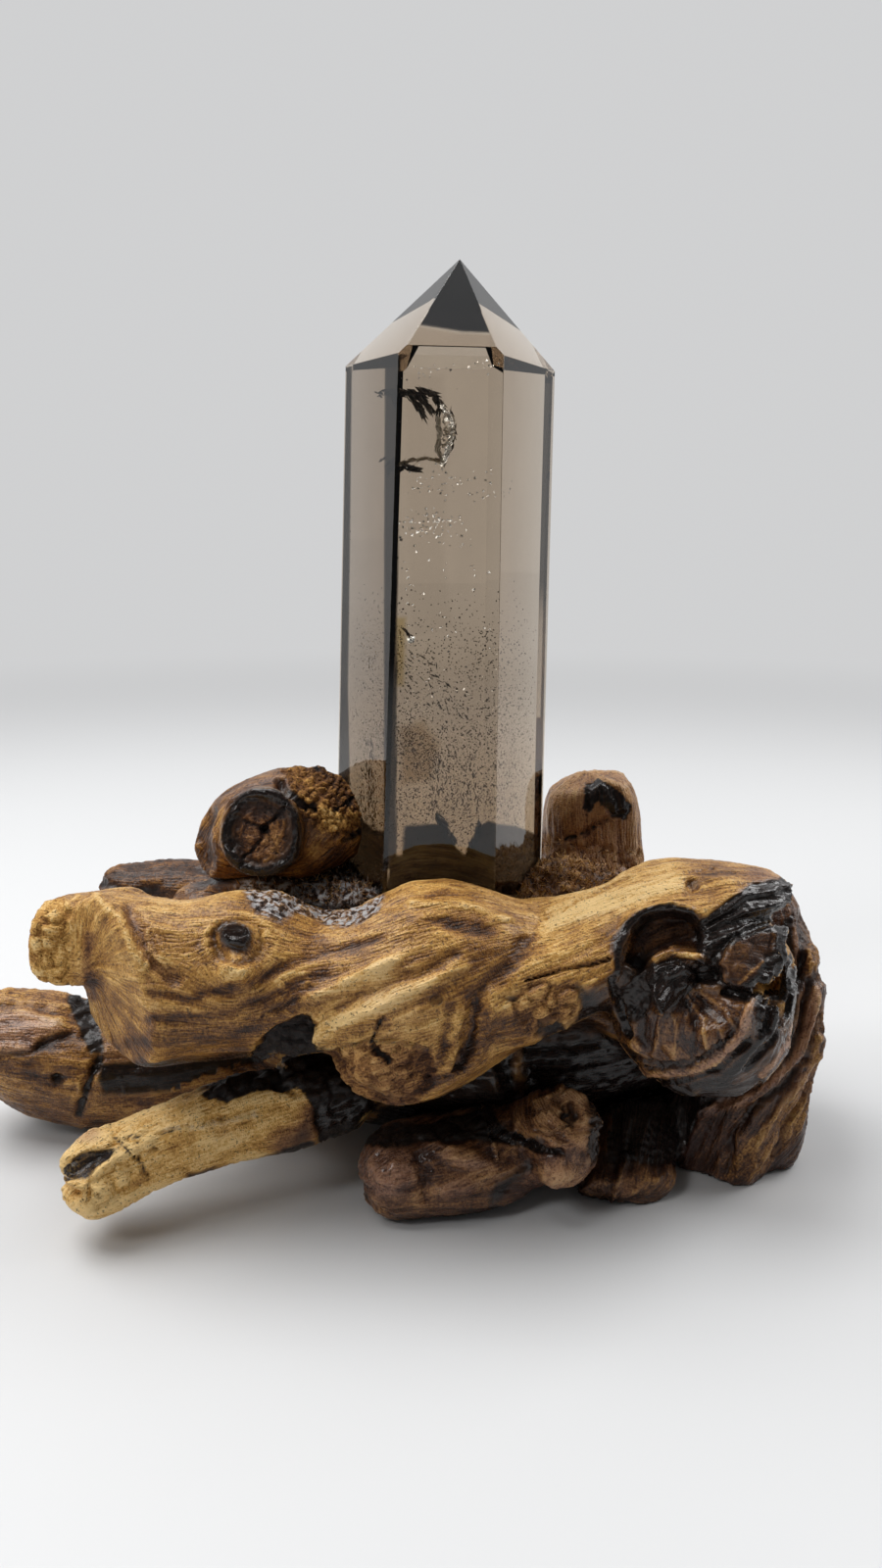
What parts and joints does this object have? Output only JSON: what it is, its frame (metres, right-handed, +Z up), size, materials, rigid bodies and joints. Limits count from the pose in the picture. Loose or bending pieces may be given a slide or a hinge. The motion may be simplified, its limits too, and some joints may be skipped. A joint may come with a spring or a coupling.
{
  "type": "faceted smoky quartz tower in a root wood base",
  "caption": "Polished six-sided smoky quartz tower with a faceted point, standing in the carved seat of a gnarled, varnished root wood base.",
  "frame": {"origin": "on the table, under the middle of the whole part's bounding box", "axes": "+Z up, +X to the viewer's right along the main limb, +Y away from the viewer"},
  "size_m": [0.2644, 0.1378, 0.2565],
  "materials": {
    "smoky_quartz": "polished clear smoky crystal, with fine inclusions",
    "root_wood": "varnished knotty root, golden to charred dark brown"
  },
  "bodies": {
    "root": {"quartz_tower": "smoky_quartz", "root_crown": "root_wood", "main_limb": "root_wood", "knot_arm": "root_wood", "forked_branch": "root_wood", "far_left_limb": "root_wood", "front_foot": "root_wood", "middle_foot": "root_wood", "right_lobe": "root_wood", "back_left_stub": "root_wood", "back_right_stub": "root_wood", "rear_left_root": "root_wood", "rear_right_root": "root_wood"}
  },
  "joints": []
}
